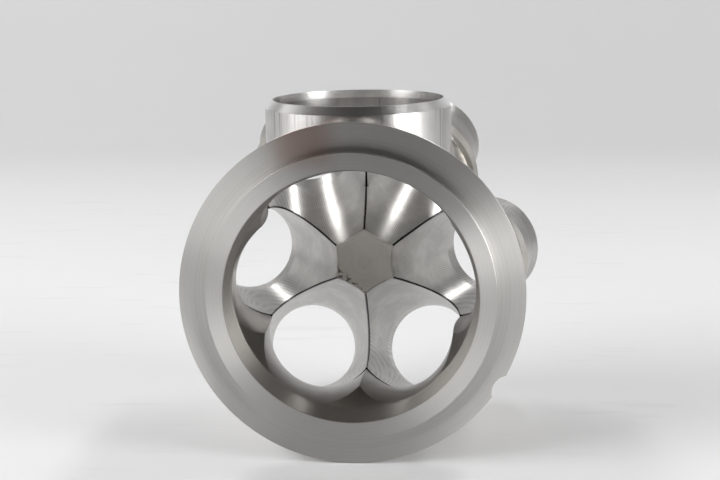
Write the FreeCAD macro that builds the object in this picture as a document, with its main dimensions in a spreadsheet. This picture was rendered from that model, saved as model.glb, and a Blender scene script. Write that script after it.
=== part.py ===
import FreeCAD, Part
import Sketcher
import os

# Six-into-one exhaust collector with a V-band outlet and a wastegate branch.
# The frame is in millimetres. The origin is the centre of the outlet lip face,
# +Y runs into the collector, +Z runs up the wastegate branch, +X is to the right
# when the outlet faces the reader.

doc = FreeCAD.newDocument("collector")
sheet = doc.addObject("Spreadsheet::Sheet", "sizes")

sizes = (
    # Outlet flange
    ("flange_radius", "65"),
    ("lip_radius", "54.3"),
    ("lip_height", "4.14"),
    ("rim_width", "2.46"),
    ("rim_taper", "20"),
    ("neck_radius", "50.8"),
    ("neck_land", "0.832"),
    ("notch_radius", "7"),
    ("notch_rise", "4.8"),
    ("notch_angle", "-32.3"),
    # Runner segments: a tapered bore leaning outward from the joint plane to a round stub
    ("joint_depth", "67.95"),
    ("runner_spread", "36.73"),
    ("runner_tilt", "23.61"),
    ("runner_mouth", "22.585"),
    ("runner_bore", "18.3"),
    ("runner_wall", "2.8"),
    ("runner_reach", "38.84"),
    ("runner_land", "6.8"),
    # Collar: a cone at the outlet blends into six trumpet-shaped lobes at the joint plane
    ("throat_radius", "42.6"),
    ("throat_depth", "34"),
    ("collar_wall", "3"),
    ("lobe_run", "65.8"),
    ("lobe_inset", "2.343"),
    ("lobe_ease", "2.38"),
    ("lobe_step", "0.475"),
    ("lobe_waist_lead", "5.467"),
    ("lobe_flare", "111.2"),
    # Centre plug
    ("plug_inset", "0.495"),
    ("plug_taper", "1.45"),
    ("plug_depth", "6"),
    # Wastegate branch
    ("branch_radius", "36.5"),
    ("branch_wall", "3.05"),
    ("branch_gap", "0.56"),
    ("branch_top", "69.5"),
    ("branch_bevel", "3.13"),
    ("branch_land", "0.4"),
    ("branch_neck", "8.5"),
    ("port_floor", "29"),
    ("port_ease", "0.4"),
    ("port_flare", "0.4"),
    # Weld beads
    ("bead", "2"),
    ("seam_bead", "1.5"),
    ("ring_bead", "1.8"),
)
for row, (alias, value) in enumerate(sizes, 1):
    sheet.set("A%d" % row, alias)
    sheet.set("B%d" % row, value)
    sheet.setAlias("B%d" % row, alias)
doc.recompute()

# Sizes that follow from others
RIM_BACK = "(sizes.lip_height + sizes.rim_width)"
TAPER_LENGTH = "((sizes.flange_radius - sizes.neck_radius) * tan(sizes.rim_taper * 1 deg))"
NECK_END = "(%s + %s + sizes.neck_land)" % (RIM_BACK, TAPER_LENGTH)
MOUTH_RADIUS = "(sizes.neck_radius - sizes.collar_wall)"
LOBE_SPREAD = "(sizes.runner_spread - sizes.lobe_inset)"
LOBE_TILT = "(sizes.runner_tilt - sizes.lobe_ease)"
LOBE_WAIST = "(sizes.runner_mouth + sizes.lobe_step)"
CORE_RADIUS = "(%s * cos(30 deg))" % LOBE_SPREAD
PLUG_RADIUS = "(sizes.runner_spread - sizes.runner_mouth - sizes.plug_inset)"
PLUG_BACK = "(%s - sizes.plug_taper)" % PLUG_RADIUS
PLUG_END = "(sizes.joint_depth + sizes.plug_depth)"
BRANCH_BORE = "(sizes.branch_radius - sizes.branch_wall)"
BRANCH_DEPTH = "(%s + sizes.branch_gap + sizes.branch_radius)" % NECK_END
FAR_OUT = "(sizes.runner_spread + sizes.runner_reach + sizes.runner_mouth)"
FAR_BACK = "(sizes.runner_reach + sizes.runner_mouth)"

SIDES = ("right", "upper_right", "upper_left", "left", "lower_left", "lower_right")
VALLEYS = ("upper_right", "top", "upper_left", "lower_left", "bottom", "lower_right")
UPPER = (1, 2)


def turned(angle, rest):
    # Turns a placement about the outlet axis, from +X towards +Z.
    spin = "placement(vector(0;0;0); rotation(vector(0;1;0); -(%s)))" % angle
    return "%s * %s" % (spin, rest)


def facing_in(offset, depth):
    # Puts a shape's own Z axis along +Y, at a radius and a depth.
    return "placement(vector(%s;%s;0); rotation(vector(1;0;0); -90))" % (offset, depth)


def standing_up(height):
    # Puts a shape on the wastegate axis, at a height.
    return "placement(vector(0;%s;%s); rotation(0;0;0))" % (BRANCH_DEPTH, height)


def leaning(along):
    # Puts a shape's own Z axis along a runner's axis, at a distance from the joint plane.
    root = ("placement(vector(sizes.runner_spread;sizes.joint_depth;0);"
            " rotation(vector(0;0;1); -sizes.runner_tilt))")
    return "%s * placement(vector(0;%s;0); rotation(vector(1;0;0); -90))" % (root, along)


def shape(kind, name, placement=None, **dims):
    thing = doc.addObject(kind, name)
    for prop, formula in dims.items():
        thing.setExpression(prop, formula)
    if placement:
        thing.setExpression("Placement", placement)
    return thing


def sixth(name, index, depth, length):
    # A sixth of a disc that holds one runner's share of the cluster.
    return shape("Part::Cylinder", name, turned(60 * index + 30, facing_in("0", depth)),
                 Radius=FAR_OUT, Height=length, Angle="60")


def fuse(name, shapes):
    thing = doc.addObject("Part::MultiFuse", name)
    thing.Shapes = shapes
    return thing


def common(name, shapes):
    thing = doc.addObject("Part::MultiCommon", name)
    thing.Shapes = shapes
    return thing


def cut(name, base, tools):
    # Takes the tools away one after another; the last cut carries the name.
    for count, tool in enumerate(tools, 1):
        step = doc.addObject("Part::Cut", name if count == len(tools) else "%s_cut_%d" % (name, count))
        step.Base = base
        step.Tool = tool
        base = step
    return base


# Lobes: an arc turned about a leaning axis gives a trumpet that narrows towards the joint plane
def lobe_profile(name, extra):
    sketch = doc.addObject("Sketcher::SketchObject", name)
    point = FreeCAD.Vector
    run = sheet.lobe_run
    waist = sheet.runner_mouth
    flare = sheet.lobe_flare
    sketch.addGeometry(Part.LineSegment(point(0, 0, 0), point(0, run + waist, 0)))
    sketch.addGeometry(Part.LineSegment(point(0, run + waist, 0), point(waist, run + waist, 0)))
    centre = Part.Circle(point(waist + flare, run, 0), point(0, 0, 1), flare)
    sketch.addGeometry(Part.ArcOfCircle(centre, 2.9, 3.7))
    sketch.addGeometry(Part.LineSegment(point(waist * 2, 0, 0), point(0, 0, 0)))
    link = Sketcher.Constraint
    sketch.addConstraint([
        link("Coincident", 0, 2, 1, 1),
        link("Coincident", 1, 2, 2, 1),
        link("Coincident", 2, 2, 3, 1),
        link("Coincident", 3, 2, 0, 1),
        link("Coincident", 0, 1, -1, 1),
        link("Vertical", 0),
        link("Horizontal", 1),
        link("Horizontal", 3),
        link("DistanceY", -1, 1, 0, 2, run + waist),
        link("DistanceX", -1, 1, 2, 3, waist + flare),
        link("DistanceY", -1, 1, 2, 3, run),
        link("Radius", 2, flare),
    ])
    sketch.setExpression("Constraints[8]", "sizes.lobe_run + %s" % LOBE_WAIST)
    sketch.setExpression("Constraints[9]", "%s + sizes.lobe_flare" % LOBE_WAIST)
    sketch.setExpression("Constraints[10]", "sizes.lobe_run - sizes.lobe_waist_lead")
    sketch.setExpression("Constraints[11]", "sizes.lobe_flare - (%s)" % extra)
    return sketch


def lobe_solids(name, extra, indices=range(6)):
    profile = lobe_profile(name + "_profile", extra)
    joint = "placement(vector(%s;sizes.joint_depth;0); rotation(vector(0;0;1); -%s))"
    back = "placement(vector(0;-sizes.lobe_run;0); rotation(0;0;0))"
    lean = "%s * %s" % (joint % (LOBE_SPREAD, LOBE_TILT), back)
    made = {}
    for index in indices:
        horn = shape("Part::Revolution", "%s_%d" % (name, index), turned(60 * index, lean))
        horn.Source = profile
        horn.Axis = (0, 1, 0)
        horn.Base = (0, 0, 0)
        horn.Angle = 360
        horn.Solid = True
        made[index] = horn
    return made


# Runner solids: a cone that starts ahead of the joint plane, then a straight pipe length
def runner_solids(name, extra, beyond, indices=range(6)):
    slope = "(sizes.runner_mouth - sizes.runner_bore) / (sizes.runner_reach - sizes.runner_land)"
    made = {}
    for index in indices:
        cone = shape("Part::Cone", "%s_cone_%d" % (name, index),
                     turned(60 * index, leaning("-sizes.runner_mouth")),
                     Radius1="sizes.runner_mouth * (1 + %s) + %s" % (slope, extra),
                     Radius2="sizes.runner_bore + %s" % extra,
                     Height="sizes.runner_mouth + sizes.runner_reach - sizes.runner_land")
        land = shape("Part::Cylinder", "%s_land_%d" % (name, index),
                     turned(60 * index, leaning("(sizes.runner_reach - 1.5 * sizes.runner_land)")),
                     Radius="sizes.runner_bore + %s" % extra,
                     Height="1.5 * sizes.runner_land + %s" % beyond)
        made[index] = fuse("%s_%d" % (name, index), [cone, land])
    return made


bores = runner_solids("bore", "0", "sizes.runner_land")
hulls = runner_solids("hull", "sizes.runner_wall", "0")

# The whole inside of the collar, used to cut the collar and the flange
cavity_cone = shape("Part::Cone", "cavity_cone", facing_in("0", "0"),
                    Radius1=MOUTH_RADIUS, Radius2="sizes.throat_radius", Height="sizes.throat_depth")
cavity_core = shape("Part::Cylinder", "cavity_core", facing_in("0", "0"),
                    Radius=CORE_RADIUS, Height="sizes.joint_depth")
cavity_lobes = lobe_solids("cavity_lobe", "0")

# The port under the wastegate branch opens only the roof. It is a little wider than the
# pipe's bore and flares upward; both amounts are guesses, as the photo hardly shows it
port = shape("Part::Cone", "port", standing_up("sizes.port_floor"),
             Radius1="%s + sizes.port_ease" % BRANCH_BORE,
             Radius2="%s + sizes.port_ease + sizes.port_flare" % BRANCH_BORE,
             Height="sizes.branch_top - sizes.branch_neck - sizes.port_floor")
tube_bore = shape("Part::Cylinder", "tube_bore", standing_up("sizes.port_floor"),
                  Radius=BRANCH_BORE, Height="sizes.branch_top")

# Outlet flange: lip, flat ring face, rim, back taper and neck, turned in one profile
lip = shape("Part::Cylinder", "lip", facing_in("0", "0"),
            Radius="sizes.lip_radius", Height=RIM_BACK)
rim = shape("Part::Cylinder", "rim", facing_in("0", "sizes.lip_height"),
            Radius="sizes.flange_radius", Height="sizes.rim_width")
rim_back = shape("Part::Cone", "rim_back", facing_in("0", RIM_BACK),
                 Radius1="sizes.flange_radius", Radius2="sizes.neck_radius", Height=TAPER_LENGTH)
neck = shape("Part::Cylinder", "neck", facing_in("0", "sizes.lip_height"),
             Radius="sizes.neck_radius", Height="%s - sizes.lip_height" % NECK_END)
notch = shape("Part::Cylinder", "notch",
              turned("sizes.notch_angle", facing_in("(sizes.flange_radius + sizes.notch_rise)", "0")),
              Radius="sizes.notch_radius", Height=NECK_END)
flange_blank = fuse("flange_blank", [lip, rim, rim_back, neck])
cut("outlet_flange", flange_blank, [notch, cavity_cone] + list(cavity_lobes.values()))

# Outlet collar: the lobes with a wall round them, from the flange neck to the joint plane
collar_cone = shape("Part::Cone", "collar_cone", facing_in("0", "0"),
                    Radius1="sizes.neck_radius", Radius2="sizes.throat_radius + sizes.collar_wall",
                    Height="sizes.throat_depth")
collar_lobes = lobe_solids("collar_lobe", "sizes.collar_wall")
collar_spans = []
collar_solids = []
collar_walls = []
for index in range(6):
    span = sixth("collar_span_%d" % index, index, NECK_END, "sizes.joint_depth - %s" % NECK_END)
    blank = fuse("collar_blank_%d" % index, [collar_lobes[index], collar_cone])
    solid = common("collar_solid_%d" % index, [blank, span])
    inside = [cavity_core, cavity_cone, cavity_lobes[index]]
    if index in UPPER:
        inside += [port, tube_bore]
    collar_spans.append(span)
    collar_solids.append(solid)
    collar_walls.append(cut("collar_wall_%d" % index, solid, inside))
fuse("outlet_collar", collar_walls)

# Centre plug: a six-sided taper whose edges are hollowed by the six bores
hex_front = shape("Part::RegularPolygon", "hex_front",
                  turned(30, facing_in("0", "sizes.joint_depth")), Circumradius=PLUG_RADIUS)
hex_back = shape("Part::RegularPolygon", "hex_back",
                 turned(30, facing_in("0", PLUG_END)), Circumradius=PLUG_BACK)
hex_front.Polygon = 6
hex_back.Polygon = 6
plug_blank = doc.addObject("Part::Loft", "plug_blank")
plug_blank.Sections = [hex_front, hex_back]
plug_blank.Solid = True
plug_blank.Ruled = True
cut("centre_plug", plug_blank, [fuse("all_bores", list(bores.values()))])

# Runner segments: each is one sixth of the cluster behind the joint plane
segment_spans = []
segment_solids = []
for index, side in enumerate(SIDES):
    span = sixth("segment_span_%d" % index, index, "sizes.joint_depth", FAR_BACK)
    solid = common("segment_solid_%d" % index, [hulls[index], span])
    tools = [bores[index], plug_blank]
    if index in UPPER:
        tools += [port, tube_bore]
    segment_spans.append(span)
    segment_solids.append(solid)
    cut("runner_%s" % side, solid, [fuse("segment_tools_%d" % index, tools)])

# Wastegate tube: a straight pipe with a welding bevel, fitted to the roof it stands on,
# whose foot is opened out to the width of the port
tube_outer = shape("Part::Cylinder", "tube_outer", standing_up("sizes.port_floor"),
                   Radius="sizes.branch_radius",
                   Height="sizes.branch_top - sizes.port_floor - sizes.branch_bevel")
tube_bevel = shape("Part::Cone", "tube_bevel", standing_up("(sizes.branch_top - sizes.branch_bevel)"),
                   Radius1="sizes.branch_radius", Radius2="%s + sizes.branch_land" % BRANCH_BORE,
                   Height="sizes.branch_bevel")
tube_blank = fuse("tube_blank", [tube_outer, tube_bevel])
under_roof = shape("Part::Cylinder", "under_roof", facing_in("0", "sizes.joint_depth"),
                   Radius="sizes.runner_spread", Height=FAR_BACK)
roof = [collar_solids[index] for index in UPPER] + [segment_solids[index] for index in UPPER]
cut("wastegate_tube", tube_blank, [tube_bore, port, under_roof] + roof)

# Weld beads: filler that lies outside both of the surfaces it joins
branch_space = shape("Part::Cylinder", "branch_space", standing_up("(sizes.port_floor + 1.5 * sizes.bead)"),
                     Radius="sizes.branch_radius + sizes.bead", Height="sizes.branch_top")

# Filler ring between the flange neck and the collar
ring = shape("Part::Torus", "flange_weld_ring", facing_in("0", NECK_END),
             Radius1="sizes.neck_radius - 0.16 * sizes.ring_bead", Radius2="sizes.ring_bead")
cut("flange_weld", ring, [branch_space, flange_blank] + collar_solids)

# Filler round the back of the plug
puddle = shape("Part::Torus", "plug_weld_ring", facing_in("0", PLUG_END),
               Radius1="%s - 0.8 * sizes.bead" % PLUG_BACK, Radius2="1.2 * sizes.bead")
cut("plug_weld", puddle, [plug_blank] + segment_solids)

# Filler over the joint between the collar and the segments
bead_lobes = lobe_solids("bead_lobe", "sizes.collar_wall + sizes.ring_bead")
joint_core = shape("Part::Cylinder", "joint_core", facing_in("0", "0"),
                   Radius=CORE_RADIUS, Height="sizes.joint_depth + 2 * sizes.ring_bead")
joint_runs = []
for index in range(6):
    band = sixth("joint_band_%d" % index, index, "(sizes.joint_depth - sizes.ring_bead)",
                 "2 * sizes.ring_bead")
    blank = common("joint_blank_%d" % index, [bead_lobes[index], band])
    joint_runs.append(cut("joint_run_%d" % index, blank,
                          [joint_core, collar_solids[index], segment_solids[index]]))
cut("joint_weld", fuse("joint_all", joint_runs), [branch_space])

# Filler in the six valleys between neighbouring segments
over_roof = shape("Part::Cylinder", "over_roof", standing_up("(sizes.port_floor + 1.5 * sizes.bead)"),
                  Radius="sizes.branch_radius + sizes.runner_reach", Height="sizes.branch_top")
seam_hulls = runner_solids("seam_hull", "sizes.runner_wall + sizes.seam_bead", "0")
for index, valley in enumerate(VALLEYS):
    beside = (index, (index + 1) % 6)
    wedge = shape("Part::Cylinder", "seam_span_%s" % valley,
                  turned(60 * index + 42, facing_in("0", "(sizes.joint_depth + sizes.ring_bead)")),
                  Radius=FAR_OUT, Height="sizes.runner_reach", Angle="24")
    blank = common("seam_blank_%s" % valley, [seam_hulls[side] for side in beside] + [wedge])
    tools = [hulls[side] for side in beside] + [plug_blank, puddle]
    if valley == "top":
        tools.append(over_roof)
    cut("seam_weld_%s" % valley, blank, tools)

# Filler round the foot of the wastegate tube
foot_lobes = lobe_solids("foot_lobe", "sizes.collar_wall + sizes.bead", UPPER)
foot_hulls = runner_solids("foot_hull", "sizes.runner_wall + sizes.bead", "0", UPPER)
foot_runs = []
for index in UPPER:
    front = common("foot_front_%d" % index, [foot_lobes[index], collar_spans[index], branch_space])
    rear = common("foot_rear_%d" % index, [foot_hulls[index], segment_spans[index], branch_space])
    foot_runs.append(cut("foot_front_run_%d" % index, front, [tube_outer, collar_solids[index]]))
    foot_runs.append(cut("foot_rear_run_%d" % index, rear, [tube_outer, segment_solids[index]]))
fuse("wastegate_weld", foot_runs)

doc.recompute()

# Every object must have built, and each piece must be one sound solid
pieces = ["outlet_flange", "outlet_collar", "centre_plug", "wastegate_tube"]
pieces += ["runner_%s" % side for side in SIDES]
pieces += ["flange_weld", "joint_weld", "plug_weld", "wastegate_weld"]
pieces += ["seam_weld_%s" % valley for valley in VALLEYS]

for thing in doc.Objects:
    if "Invalid" in thing.State or "Error" in thing.State:
        raise RuntimeError("%s did not build: %s" % (thing.Name, thing.State))
    if hasattr(thing, "Shape") and (thing.Shape.isNull() or not thing.Shape.isValid()):
        raise RuntimeError("%s has no sound shape" % thing.Name)

os.makedirs("parts", exist_ok=True)
for name in pieces:
    piece = doc.getObject(name)
    piece.Label = name
    if len(piece.Shape.Solids) != 1:
        raise RuntimeError("%s is not one solid" % name)
    piece.Shape.exportStep("parts/%s.step" % name)
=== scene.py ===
import math

import bmesh
import bpy
from mathutils import Matrix, Vector


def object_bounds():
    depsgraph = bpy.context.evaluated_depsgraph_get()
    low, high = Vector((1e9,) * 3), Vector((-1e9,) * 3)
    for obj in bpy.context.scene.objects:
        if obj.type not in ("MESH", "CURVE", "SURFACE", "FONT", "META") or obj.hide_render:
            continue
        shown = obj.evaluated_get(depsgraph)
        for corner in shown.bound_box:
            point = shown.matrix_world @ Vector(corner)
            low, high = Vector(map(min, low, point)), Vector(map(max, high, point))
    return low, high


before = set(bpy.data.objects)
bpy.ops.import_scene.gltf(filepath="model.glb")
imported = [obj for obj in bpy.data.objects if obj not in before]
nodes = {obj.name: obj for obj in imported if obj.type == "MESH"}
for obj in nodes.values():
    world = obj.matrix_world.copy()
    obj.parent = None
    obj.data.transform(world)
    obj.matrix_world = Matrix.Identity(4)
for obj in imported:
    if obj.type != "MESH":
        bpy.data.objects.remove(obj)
cad_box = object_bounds()


# Studio floor and backdrop
# A pale paper sweep, one sheet bent once: flat under the collector and curving up behind it.
# It has faint grey scuffs where parts have slid over it. Well in front of the collector the
# paper is painted dark, a painted shade that only the steel mirrors and the camera never sees.
def maths(tree, operation, *values):
    node = tree.nodes.new("ShaderNodeMath")
    node.operation = operation
    for index, value in enumerate(values):
        if isinstance(value, (int, float)):
            node.inputs[index].default_value = value
        else:
            tree.links.new(value, node.inputs[index])
    return node.outputs[0]


def ramp(tree, value, low, high):
    # 0 below low, 1 above high, and smooth between them.
    node = tree.nodes.new("ShaderNodeMapRange")
    node.interpolation_type = "SMOOTHSTEP"
    node.inputs["From Min"].default_value = low
    node.inputs["From Max"].default_value = high
    tree.links.new(value, node.inputs["Value"])
    return node.outputs["Result"]


def blend(tree, mask, first, second):
    # Mixes two colours, or colour sockets, by a mask.
    node = tree.nodes.new("ShaderNodeMix")
    node.data_type = "RGBA"
    tree.links.new(mask, node.inputs["Factor"])
    for label, colour in (("A", first), ("B", second)):
        if isinstance(colour, tuple):
            node.inputs[label].default_value = colour + (1,)
        else:
            tree.links.new(colour, node.inputs[label])
    return node.outputs["Result"]


floor_gap = 0.0001
floor_z = cad_box[0][2] - floor_gap
half_sheet = 2.0
sheet_middle = -0.4
back_line = sheet_middle + half_sheet
wall_height = 2.6
bend_radius = 0.7
tolerance = 0.001
sweep = bmesh.new()
bmesh.ops.create_grid(sweep, x_segments=1, y_segments=1, size=half_sheet)
bmesh.ops.translate(sweep, verts=sweep.verts, vec=(0, sheet_middle, floor_z))
far_edge = [edge for edge in sweep.edges
            if all(abs(vert.co.y - back_line) < tolerance for vert in edge.verts)]
raised = bmesh.ops.extrude_edge_only(sweep, edges=far_edge)["geom"]
raised = [item for item in raised if isinstance(item, bmesh.types.BMVert)]
bmesh.ops.translate(sweep, verts=raised, vec=(0, 0, wall_height))
fold = [edge for edge in sweep.edges
        if all(abs(vert.co.y - back_line) < tolerance and abs(vert.co.z - floor_z) < tolerance
               for vert in edge.verts)]
bmesh.ops.bevel(sweep, geom=fold, offset=bend_radius, offset_type="OFFSET", affect="EDGES",
                segments=24, profile=0.5, material=-1)
for face in sweep.faces:
    face.smooth = True
sweep_mesh = bpy.data.meshes.new("paper_sweep")
sweep.to_mesh(sweep_mesh)
sweep.free()
paper_sweep = bpy.data.objects.new("paper_sweep", sweep_mesh)
bpy.context.scene.collection.objects.link(paper_sweep)

scuff_stretch = (14.0, 90.0, 0.0)
clean_paper = (0.80, 0.80, 0.805)
scuffed_paper = (0.765, 0.765, 0.77)
far_paper_painted_shade = (0.58, 0.58, 0.585)
painted_dark_front = (0.04, 0.039, 0.037)
painted_front_starts = -0.30
painted_front_full = -0.50
paper = bpy.data.materials.new("pale_paper")
paper.use_nodes = True
tree = paper.node_tree
shader = tree.nodes["Principled BSDF"]
shader.inputs["Roughness"].default_value = 0.6
shader.inputs["Specular IOR Level"].default_value = 0.15
place = tree.nodes.new("ShaderNodeTexCoord")
stretch = tree.nodes.new("ShaderNodeMapping")
stretch.inputs["Scale"].default_value = scuff_stretch
tree.links.new(place.outputs["Object"], stretch.inputs["Vector"])
scuff = tree.nodes.new("ShaderNodeTexNoise")
scuff.inputs["Scale"].default_value = 1.0
scuff.inputs["Detail"].default_value = 4.0
tree.links.new(stretch.outputs["Vector"], scuff.inputs["Vector"])
parts = tree.nodes.new("ShaderNodeSeparateXYZ")
tree.links.new(place.outputs["Object"], parts.inputs["Vector"])
scuffed = ramp(tree, scuff.outputs["Fac"], 0.40, 0.30)
sheet_tone = blend(tree, scuffed, clean_paper, scuffed_paper)
# Painted shade: the sheet turns darker towards the back.
sheet_tone = blend(tree, ramp(tree, parts.outputs["Y"], 0.15, 1.3), sheet_tone, far_paper_painted_shade)
# Painted shade, seen only in reflections: the paper in front turns dark for rays that do not come
# from the camera.
rays = tree.nodes.new("ShaderNodeLightPath")
unseen = maths(tree, "SUBTRACT", 1.0, rays.outputs["Is Camera Ray"])
painted_front_mask = maths(tree, "MULTIPLY", unseen,
              ramp(tree, parts.outputs["Y"], painted_front_starts, painted_front_full))
sheet_tone = blend(tree, painted_front_mask, sheet_tone, painted_dark_front)
tree.links.new(sheet_tone, shader.inputs["Base Color"])
sweep_mesh.materials.append(paper)


# Studio light
# A light tent: bright walls at the sides and behind, a darker ceiling with two long tube
# lamps, and a dark gap in front where the photographer stands, leaning to one side.
# Two soft boxes fill in from the front, the right one smaller and lower.
tent_lean = math.radians(25)
side_bright = (1.0, 1.0, 1.0)
front_dark = (0.03, 0.029, 0.028)
ceiling_front = (0.04, 0.038, 0.036)
ceiling_back = (0.45, 0.435, 0.415)
tube_width = 0.13
tube_length = 1.1
world = bpy.data.worlds.new("studio")
bpy.context.scene.world = world
world.use_nodes = True
tree = world.node_tree
backing = tree.nodes["Background"]
way = tree.nodes.new("ShaderNodeTexCoord")
split = tree.nodes.new("ShaderNodeSeparateXYZ")
tree.links.new(way.outputs["Generated"], split.inputs["Vector"])
leaning_x = maths(tree, "MULTIPLY", split.outputs["X"], math.cos(tent_lean))
leaning_z = maths(tree, "MULTIPLY", split.outputs["Z"], math.sin(tent_lean))
across = maths(tree, "ABSOLUTE", maths(tree, "SUBTRACT", leaning_x, leaning_z))
behind = ramp(tree, split.outputs["Y"], -0.1, 0.5)
walls = maths(tree, "MAXIMUM", ramp(tree, across, 0.32, 0.75), behind)
wall_tone = blend(tree, walls, front_dark, side_bright)
ceiling_depth = ramp(tree, split.outputs["Y"], 0.0, 0.5)
ceiling_tone = blend(tree, ceiling_depth, ceiling_front, ceiling_back)
ceiling = ramp(tree, split.outputs["Z"], 0.5, 0.8)
room_tone = blend(tree, ceiling, wall_tone, ceiling_tone)
tree.links.new(room_tone, backing.inputs["Color"])
backing.inputs["Strength"].default_value = 0.9

for name, spot, turn, power in (
        ("tube_lamp_left", (-0.62, 0.85, 1.0), 13, 5.5),
        ("tube_lamp_right", (0.50, 0.70, 1.0), 0, 5.0)):
    lamp = bpy.data.lights.new(name, "AREA")
    lamp.shape = "RECTANGLE"
    lamp.size = tube_width
    lamp.size_y = tube_length
    lamp.energy = power
    lamp_object = bpy.data.objects.new(name, lamp)
    lamp_object.location = spot
    lamp_object.rotation_euler = (0, 0, math.radians(turn))
    bpy.context.scene.collection.objects.link(lamp_object)

for name, spot, size, power in (
        ("soft_box_left", (-1.25, -0.55, 0.55), 1.1, 19),
        ("soft_box_right", (1.25, -0.55, 0.20), 0.6, 18)):
    lamp = bpy.data.lights.new(name, "AREA")
    lamp.shape = "SQUARE"
    lamp.size = size
    lamp.energy = power
    lamp_object = bpy.data.objects.new(name, lamp)
    lamp_object.location = spot
    lamp_object.rotation_euler = (-Vector(spot)).to_track_quat("-Z", "Y").to_euler()
    bpy.context.scene.collection.objects.link(lamp_object)


# Camera
# An 80 mm lens, 0.59 m from the outlet, a little to the right of it.
# It looks down on the outlet from 13 degrees above the level.
lens = bpy.data.cameras.new("camera")
lens.lens = 80.0
lens.sensor_width = 36.0
lens.clip_start = 0.01
camera = bpy.data.objects.new("camera", lens)
look = Matrix((
    (0.9965, 0.002393, 0.083561, 0.05315),
    (0.081645, 0.186801, -0.978999, -0.57569),
    (-0.017952, 0.982395, 0.185952, 0.1314),
    (0, 0, 0, 1)))
camera.matrix_world = look
bpy.context.scene.collection.objects.link(camera)
bpy.context.scene.camera = camera
bpy.context.scene.view_settings.view_transform = "Standard"


# Outlet flange
# A V-band flange turned from stainless bar: raised lip, flat ring face, sharp tapered rim.
# The turning leaves fine rings, so its shine spreads across the rings and not along them.
def new_group(name, ins, outs):
    group = bpy.data.node_groups.new(name, "ShaderNodeTree")
    for label, kind in ins:
        group.interface.new_socket(name=label, in_out="INPUT", socket_type=kind)
    for label, kind in outs:
        group.interface.new_socket(name=label, in_out="OUTPUT", socket_type=kind)
    return group, group.nodes.new("NodeGroupInput"), group.nodes.new("NodeGroupOutput")


def noise(tree, place, scale, detail=4.0):
    node = tree.nodes.new("ShaderNodeTexNoise")
    node.inputs["Scale"].default_value = scale
    node.inputs["Detail"].default_value = detail
    tree.links.new(place, node.inputs["Vector"])
    return node.outputs["Fac"]


def steel(name, roughness, anisotropy=0.0):
    material = bpy.data.materials.new(name)
    material.use_nodes = True
    tree = material.node_tree
    shader = tree.nodes["Principled BSDF"]
    shader.inputs["Metallic"].default_value = 1.0
    shader.inputs["Roughness"].default_value = roughness
    shader.inputs["Anisotropic"].default_value = anisotropy
    shader.inputs["Anisotropic Rotation"].default_value = 0.25
    place = tree.nodes.new("ShaderNodeTexCoord").outputs["Object"]
    return material, tree, shader, place


def use_group(tree, group, place, **settings):
    node = tree.nodes.new("ShaderNodeGroup")
    node.node_tree = group
    tree.links.new(place, node.inputs["Position"])
    for label, value in settings.items():
        node.inputs[label.replace("_", " ")].default_value = value
    return node.outputs


def relieve(tree, shader, height, strength, distance):
    node = tree.nodes.new("ShaderNodeBump")
    node.inputs["Strength"].default_value = strength
    node.inputs["Distance"].default_value = distance
    tree.links.new(height, node.inputs["Height"])
    tree.links.new(node.outputs["Normal"], shader.inputs["Normal"])


def dress(node, material):
    node.data.materials.clear()
    node.data.materials.append(material)


def length_xz(tree, x, z):
    return maths(tree, "SQRT", maths(tree, "ADD", maths(tree, "MULTIPLY", x, x),
                                     maths(tree, "MULTIPLY", z, z)))


# Rings left by a lathe round the outlet axis
lathe_rings, given, result = new_group(
    "lathe_rings", (("Position", "NodeSocketVector"), ("Rings per metre", "NodeSocketFloat")),
    (("Tone", "NodeSocketFloat"), ("Radius", "NodeSocketFloat")))
parts = lathe_rings.nodes.new("ShaderNodeSeparateXYZ")
lathe_rings.links.new(given.outputs["Position"], parts.inputs["Vector"])
radius = length_xz(lathe_rings, parts.outputs["X"], parts.outputs["Z"])
ring_place = lathe_rings.nodes.new("ShaderNodeCombineXYZ")
for source, target in ((radius, "X"), (parts.outputs["Y"], "Y")):
    scaled = maths(lathe_rings, "MULTIPLY", source, given.outputs["Rings per metre"])
    lathe_rings.links.new(scaled, ring_place.inputs[target])
ring_tone = noise(lathe_rings, ring_place.outputs["Vector"], 1.0, 3.0)
lathe_rings.links.new(ring_tone, result.inputs["Tone"])
lathe_rings.links.new(radius, result.inputs["Radius"])

# Cloudy handling marks, shared by all the bare steel except the turned flange
smudges, given, result = new_group(
    "smudges", (("Position", "NodeSocketVector"), ("Clean", "NodeSocketColor"),
                ("Stained", "NodeSocketColor")),
    (("Color", "NodeSocketColor"),))
cloud = noise(smudges, given.outputs["Position"], 55.0, 5.0)
spread = ramp(smudges, cloud, 0.35, 0.68)
mixed = blend(smudges, spread, given.outputs["Clean"], given.outputs["Stained"])
smudges.links.new(mixed, result.inputs["Color"])

warm_reflection_middle = -0.017
bore_radius = 0.048
bore_blur = 0.0002
turned, tree, shader, place = steel("turned_flange_steel", 0.42, 0.88)
rings = use_group(tree, lathe_rings, place, Rings_per_metre=1400.0)
tone = blend(tree, rings["Tone"], (0.50, 0.49, 0.475), (0.62, 0.61, 0.59))
parts = tree.nodes.new("ShaderNodeSeparateXYZ")
tree.links.new(place, parts.inputs["Vector"])
# Painted reflection: a warm patch near the top of the ring face stands in for a warm reflection of
# the surroundings.
aside = maths(tree, "ABSOLUTE", maths(tree, "SUBTRACT", parts.outputs["X"], warm_reflection_middle))
painted_warm_reflection = maths(tree, "MULTIPLY", ramp(tree, parts.outputs["Z"], 0.045, 0.056),
                   ramp(tree, aside, 0.016, 0.004))
tone = blend(tree, painted_warm_reflection, tone, (0.45, 0.36, 0.33))
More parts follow.
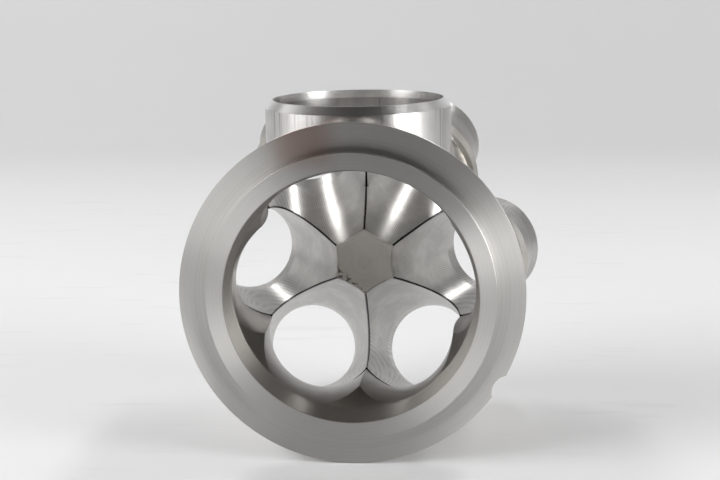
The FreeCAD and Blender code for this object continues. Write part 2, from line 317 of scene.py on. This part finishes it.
# Painted shade: the wall inside the bore is darker than the ring face.
bore_painted_shade = ramp(tree, rings["Radius"], bore_radius + bore_blur, bore_radius - bore_blur)
tone = blend(tree, bore_painted_shade, tone, (0.30, 0.285, 0.265))
tree.links.new(tone, shader.inputs["Base Color"])
around = tree.nodes.new("ShaderNodeTangent")
around.direction_type = "RADIAL"
around.axis = "Y"
tree.links.new(around.outputs["Tangent"], shader.inputs["Tangent"])
relieve(tree, shader, rings["Tone"], 0.1, 0.0002)
dress(nodes["outlet_flange"], turned)


# Outlet collar
# One smooth machined stainless piece that turns the round outlet into six lobes.
# It is welded to the flange neck in front and to the six segments behind.
collar_steel, tree, shader, place = steel("collar_steel", 0.30)
marks = use_group(tree, smudges, place,
                  Clean=(0.36, 0.345, 0.325, 1), Stained=(0.29, 0.27, 0.25, 1))
tree.links.new(marks["Color"], shader.inputs["Base Color"])
dress(nodes["outlet_collar"], collar_steel)


# Runner segments
# Six milled stainless segments, each a sixth of the cluster, with a tapered bore and a stub.
# The mill left fine ripples along the flow, and black hairline seams where they meet.
ripple_pitch = 0.00078
ripple_tone = (0.36, 0.35, 0.335)
seam_width = 0.00045
seam_tone = (0.006, 0.006, 0.006)
milled_marks, given, result = new_group(
    "milled_marks", (("Position", "NodeSocketVector"),),
    (("Ripple", "NodeSocketFloat"), ("Seam", "NodeSocketFloat")))
parts = milled_marks.nodes.new("ShaderNodeSeparateXYZ")
milled_marks.links.new(given.outputs["Position"], parts.inputs["Vector"])
waver = noise(milled_marks, given.outputs["Position"], 90.0, 2.0)
side = maths(milled_marks, "ADD", parts.outputs["Z"], maths(milled_marks, "MULTIPLY", waver, 0.0008))
wave = maths(milled_marks, "SINE", maths(milled_marks, "MULTIPLY", side, 2 * math.pi / ripple_pitch))
patchy = ramp(milled_marks, noise(milled_marks, given.outputs["Position"], 160.0, 2.0), 0.3, 0.62)
wave = maths(milled_marks, "MULTIPLY", maths(milled_marks, "MULTIPLY_ADD", wave, 0.5, 0.5), patchy)
milled_marks.links.new(wave, result.inputs["Ripple"])
from_edge = maths(milled_marks, "SUBTRACT",
                  maths(milled_marks, "MULTIPLY", parts.outputs["X"], 0.5),
                  maths(milled_marks, "MULTIPLY", maths(milled_marks, "ABSOLUTE", parts.outputs["Z"]),
                        math.cos(math.radians(30))))
ragged = maths(milled_marks, "MULTIPLY", seam_width, maths(milled_marks, "ADD", waver, 0.45))
near = maths(milled_marks, "LESS_THAN", from_edge, ragged)
milled_marks.links.new(near, result.inputs["Seam"])

runner_angles = {
    "runner_right": 0, "runner_upper_right": 60, "runner_upper_left": 120,
    "runner_left": 180, "runner_lower_left": 240, "runner_lower_right": 300}
for name, angle in runner_angles.items():
    milled, tree, shader, place = steel("milled_steel_%d" % angle, 0.30)
    turn = tree.nodes.new("ShaderNodeMapping")
    turn.inputs["Rotation"].default_value = (0, math.radians(angle), 0)
    tree.links.new(place, turn.inputs["Vector"])
    place = turn.outputs["Vector"]
    mill = use_group(tree, milled_marks, place)
    marks = use_group(tree, smudges, place,
                      Clean=(0.52, 0.51, 0.49, 1), Stained=(0.44, 0.43, 0.41, 1))
    lined = blend(tree, mill["Ripple"], marks["Color"], ripple_tone)
    tone = blend(tree, mill["Seam"], lined, seam_tone)
    tree.links.new(tone, shader.inputs["Base Color"])
    relieve(tree, shader, mill["Ripple"], 0.3, 0.00002)
    dress(nodes[name], milled)


# Centre plug
# A small six-sided steel plug, welded in from behind, that closes the middle where the six
# segments meet. Its face is matte, rubbed in circles, with a rough edge at lower left.
plug_steel, tree, shader, place = steel("plug_steel", 0.7)
shader.inputs["Metallic"].default_value = 0.3
rings = use_group(tree, lathe_rings, place, Rings_per_metre=420.0)
marks = use_group(tree, smudges, place,
                  Clean=(0.92, 0.89, 0.84, 1), Stained=(0.80, 0.77, 0.72, 1))
rub_marks = maths(tree, "MULTIPLY", ramp(tree, rings["Tone"], 0.45, 0.7), 0.6)
rubbed = blend(tree, rub_marks, marks["Color"], (0.97, 0.95, 0.91))
pits = ramp(tree, noise(tree, place, 900.0, 2.0), 0.72, 0.78)
parts = tree.nodes.new("ShaderNodeSeparateXYZ")
tree.links.new(place, parts.inputs["Vector"])
diagonal = maths(tree, "ADD", parts.outputs["X"], parts.outputs["Z"])
low_left = ramp(tree, diagonal, -0.0112, -0.0140)
crumbs = ramp(tree, noise(tree, place, 600.0, 3.0), 0.5, 0.62)
rough_edge = maths(tree, "MULTIPLY", low_left, crumbs)
dark = maths(tree, "MAXIMUM", pits, rough_edge)
tone = blend(tree, dark, rubbed, (0.26, 0.24, 0.21))
tree.links.new(tone, shader.inputs["Base Color"])
relieve(tree, shader, dark, 0.5, 0.0002)
dress(nodes["centre_plug"], plug_steel)


# Wastegate tube
# A short length of drawn stainless pipe, saddle-cut to the roof and welded round its foot.
# It has fine dark upright streaks, also in faint relief; the welding bevel at the top is fresh-cut
# and brighter.
bevel_foot = 0.0664
bevel_blur = 0.0002
pipe_steel, tree, shader, place = steel("pipe_steel", 0.24)
stretch = tree.nodes.new("ShaderNodeMapping")
stretch.inputs["Scale"].default_value = (900.0, 900.0, 18.0)
tree.links.new(place, stretch.inputs["Vector"])
upright_streaks = noise(tree, stretch.outputs["Vector"], 1.0, 3.0)
marks = use_group(tree, smudges, place,
                  Clean=(0.60, 0.59, 0.58, 1), Stained=(0.50, 0.485, 0.47, 1))
lined = blend(tree, ramp(tree, upright_streaks, 0.5, 0.75), marks["Color"], (0.33, 0.32, 0.31))
parts = tree.nodes.new("ShaderNodeSeparateXYZ")
tree.links.new(place, parts.inputs["Vector"])
fresh = ramp(tree, parts.outputs["Z"], bevel_foot - bevel_blur, bevel_foot + bevel_blur)
tone = blend(tree, fresh, lined, (0.86, 0.85, 0.84))
tree.links.new(tone, shader.inputs["Base Color"])
relieve(tree, shader, upright_streaks, 0.25, 0.00005)
dress(nodes["wastegate_tube"], pipe_steel)


# Weld beads
# Stainless filler run by hand over every outside joint, faintly straw-coloured from the heat.
# Each bead has a fine cross ripple where the puddle froze, step by step.
weld_steel, tree, shader, place = steel("weld_steel", 0.35)
marks = use_group(tree, smudges, place,
                  Clean=(0.56, 0.545, 0.52, 1), Stained=(0.46, 0.43, 0.39, 1))
tree.links.new(marks["Color"], shader.inputs["Base Color"])
puddles = noise(tree, place, 520.0, 2.0)
relieve(tree, shader, puddles, 0.5, 0.0002)
for name in nodes.keys():
    if "weld" in name:
        dress(nodes[name], weld_steel)
